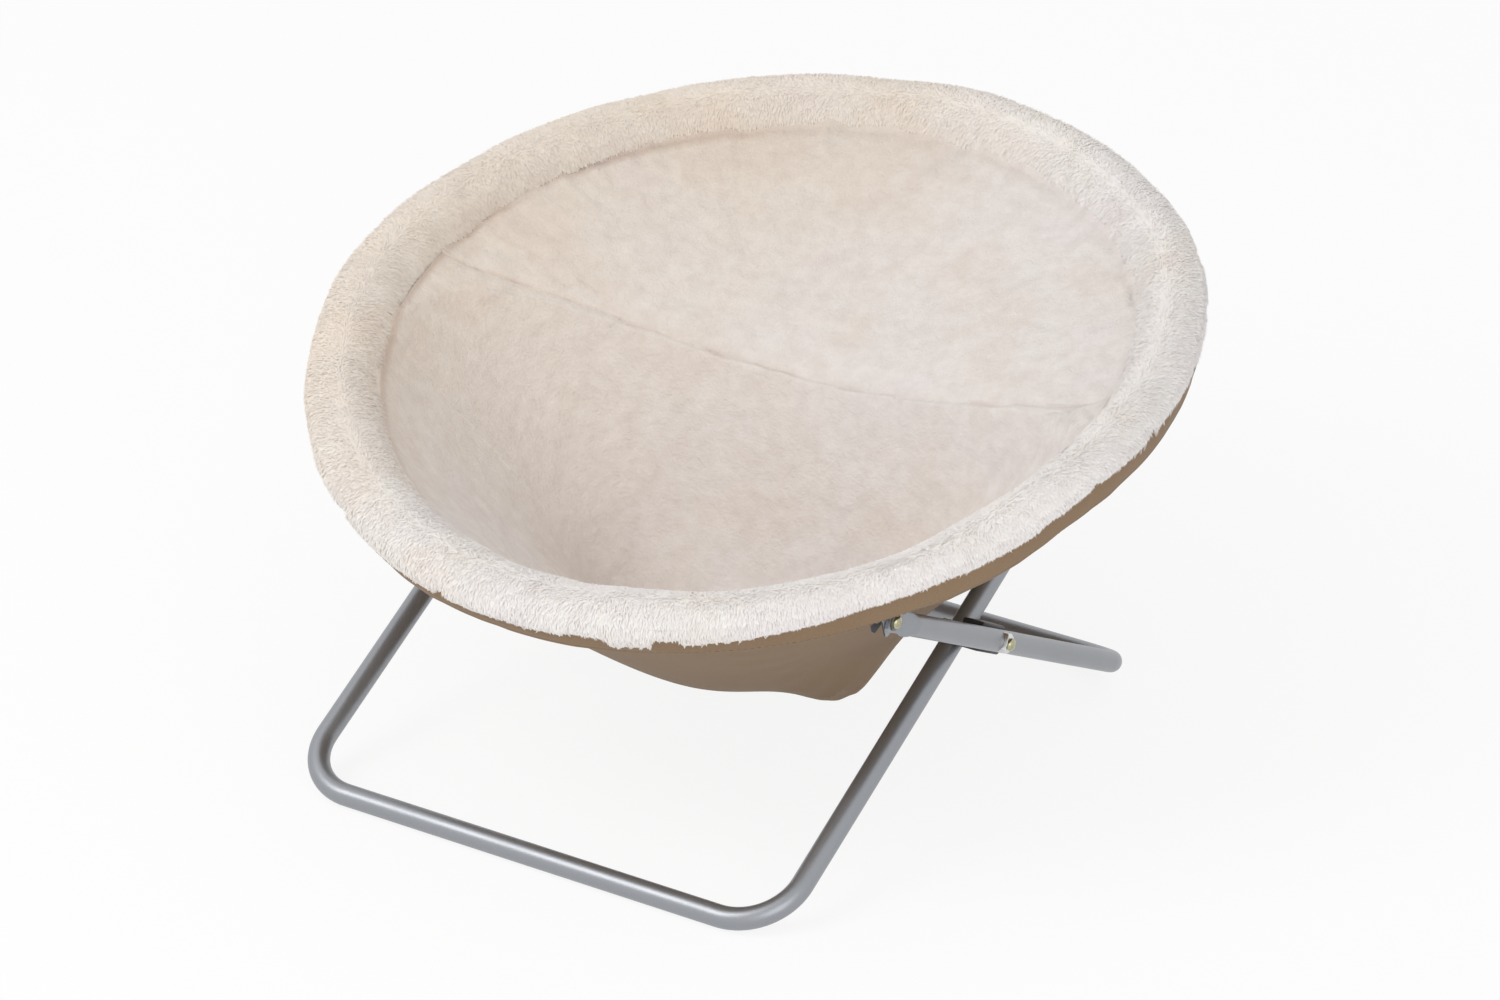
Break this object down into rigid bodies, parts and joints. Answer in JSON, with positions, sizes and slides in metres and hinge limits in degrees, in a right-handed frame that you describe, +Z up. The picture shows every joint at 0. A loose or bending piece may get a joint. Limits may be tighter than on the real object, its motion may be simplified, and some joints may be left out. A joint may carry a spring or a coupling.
{
  "type": "folding pet nest bed",
  "caption": "Round plush pet nest in a hinged steel hoop, carried by two crossed U-shaped tube legs that fold flat.",
  "frame": {"origin": "bottom centre of the bounding box, on the floor", "axes": "+X to the right as seen from the front, +Y to the rear, +Z up; the low rim faces -Y"},
  "size_m": [0.642, 0.6252, 0.3583],
  "materials": {
    "grey_paint": "satin silver-grey paint",
    "yellow_zinc": "yellow zinc plating",
    "bare_steel": "bright steel",
    "black_plastic": "matt black",
    "brown_canvas": "woven taupe canvas",
    "cream_plush": "cream pile",
    "white_wadding": "loose polyester fibre"
  },
  "bodies": {
    "front_ring": {"front_hoop": "grey_paint", "front_bracket_left": "grey_paint", "front_bracket_rivet_left": "bare_steel", "front_bracket_bolt_left": "yellow_zinc", "front_bracket_nut_left": "yellow_zinc", "front_bracket_right": "grey_paint", "front_bracket_rivet_right": "bare_steel", "front_bracket_bolt_right": "yellow_zinc", "front_bracket_nut_right": "yellow_zinc", "hoop_sleeve_front": "brown_canvas", "border_plush_front": "cream_plush", "border_filling_front": "white_wadding", "outer_shell_front": "brown_canvas", "nest_filling_front": "white_wadding", "lining_front": "cream_plush"},
    "rear_ring": {"rear_hoop": "grey_paint", "rear_bracket_left": "grey_paint", "rear_bracket_rivet_left": "bare_steel", "rear_bracket_bolt_left": "yellow_zinc", "rear_bracket_nut_left": "yellow_zinc", "rear_bracket_right": "grey_paint", "rear_bracket_rivet_right": "bare_steel", "rear_bracket_bolt_right": "yellow_zinc", "rear_bracket_nut_right": "yellow_zinc", "hoop_sleeve_rear": "brown_canvas", "border_plush_rear": "cream_plush", "border_filling_rear": "white_wadding", "outer_shell_rear": "brown_canvas", "nest_filling_rear": "white_wadding", "lining_rear": "cream_plush", "back_panel": "cream_plush", "hoop_hinge_rivet_left": "bare_steel", "hoop_hinge_washer_left": "black_plastic", "hoop_hinge_rivet_right": "bare_steel", "hoop_hinge_washer_right": "black_plastic"},
    "front_legs": {"front_leg_frame": "grey_paint", "leg_pivot_nut_left": "yellow_zinc", "leg_pivot_nut_right": "yellow_zinc"},
    "rear_legs": {"rear_leg_frame": "grey_paint", "leg_pivot_bolt_left": "yellow_zinc", "leg_pivot_washer_left": "yellow_zinc", "leg_pivot_spacer_left": "black_plastic", "leg_pivot_bolt_right": "yellow_zinc", "leg_pivot_washer_right": "yellow_zinc", "leg_pivot_spacer_right": "black_plastic"}
  },
  "joints": [
    {"name": "ring_fold", "type": "hinge", "parent": "rear_ring", "child": "front_ring", "pos_m": [0, -0.06713, 0.26304], "axis": [1, 0, 0], "range_deg": [-166, 0], "deforming": ["hoop_sleeve_front", "border_plush_front", "border_filling_front", "outer_shell_front", "nest_filling_front", "lining_front", "hoop_sleeve_rear", "border_plush_rear", "border_filling_rear", "outer_shell_rear", "nest_filling_rear", "lining_rear", "back_panel"]},
    {"name": "front_legs_swing", "type": "hinge", "parent": "rear_ring", "child": "front_legs", "pos_m": [0, 0.23106, 0.30468], "axis": [1, 0, 0], "range_deg": [-25.5, 0]},
    {"name": "rear_legs_swing", "type": "hinge", "parent": "front_ring", "child": "rear_legs", "pos_m": [0, -0.19381, 0.2066], "axis": [1, 0, 0], "range_deg": [0, 47.5]}
  ],
  "couplings": [
    {"joint": "front_legs_swing", "follows": "ring_fold", "ratio": 0.15315},
    {"joint": "rear_legs_swing", "follows": "ring_fold", "ratio": -0.28478}
  ]
}
